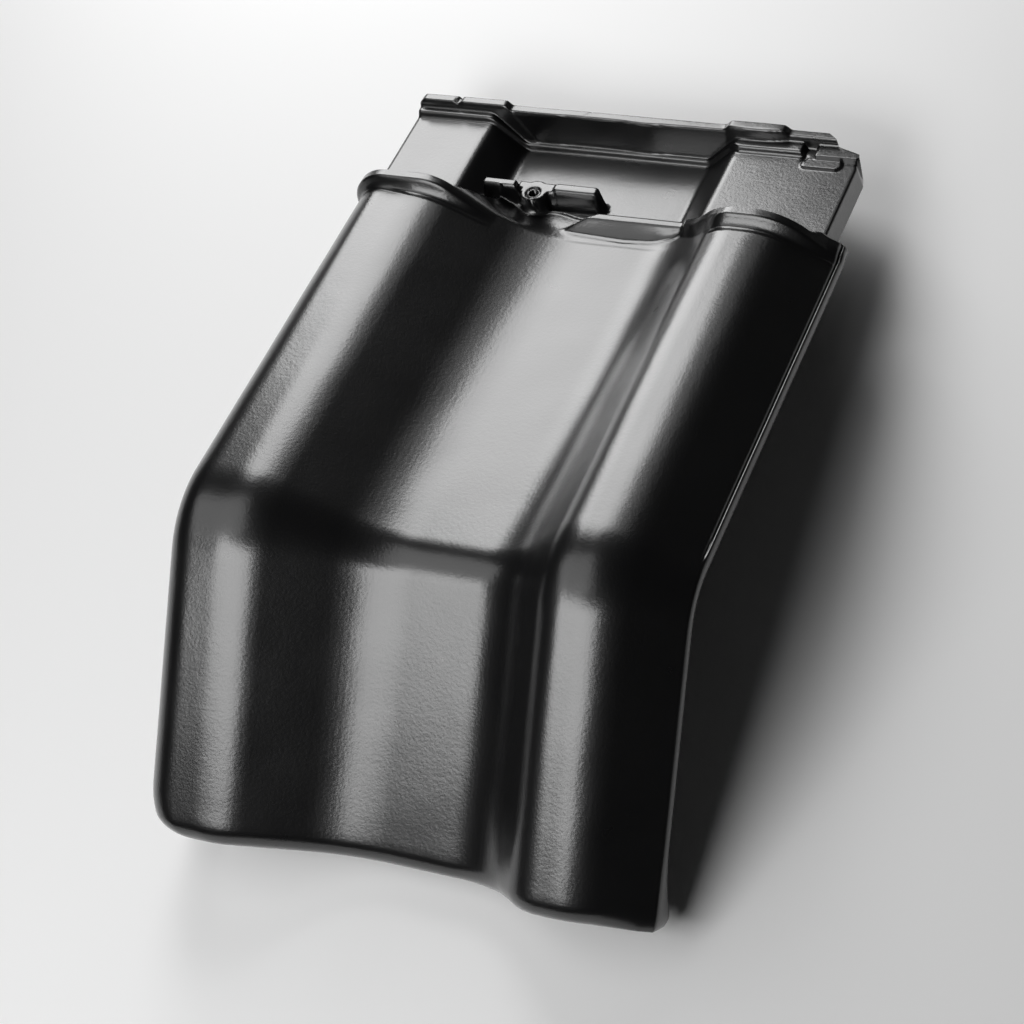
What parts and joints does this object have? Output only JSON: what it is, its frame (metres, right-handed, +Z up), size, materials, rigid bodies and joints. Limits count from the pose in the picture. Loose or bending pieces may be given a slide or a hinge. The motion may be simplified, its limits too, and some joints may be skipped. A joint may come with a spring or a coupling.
{
  "type": "verge tile",
  "caption": "Glazed clay verge tile with a roll along each side, a pan between them, a knee bend and a lowered interlocking head with a nail hole.",
  "frame": {"origin": "centre of the bounding box on the floor plane, under the tile as it lies on its batten nibs and its foot with the knee up", "axes": "+X across the tile from the left roll to the right roll seen from the foot, +Y from the foot towards the head, +Z up"},
  "size_m": [0.303, 0.4866, 0.1409],
  "materials": {
    "glaze": "glossy black glaze over fired clay"
  },
  "bodies": {
    "root": {"verge_tile": "glaze"}
  },
  "joints": []
}
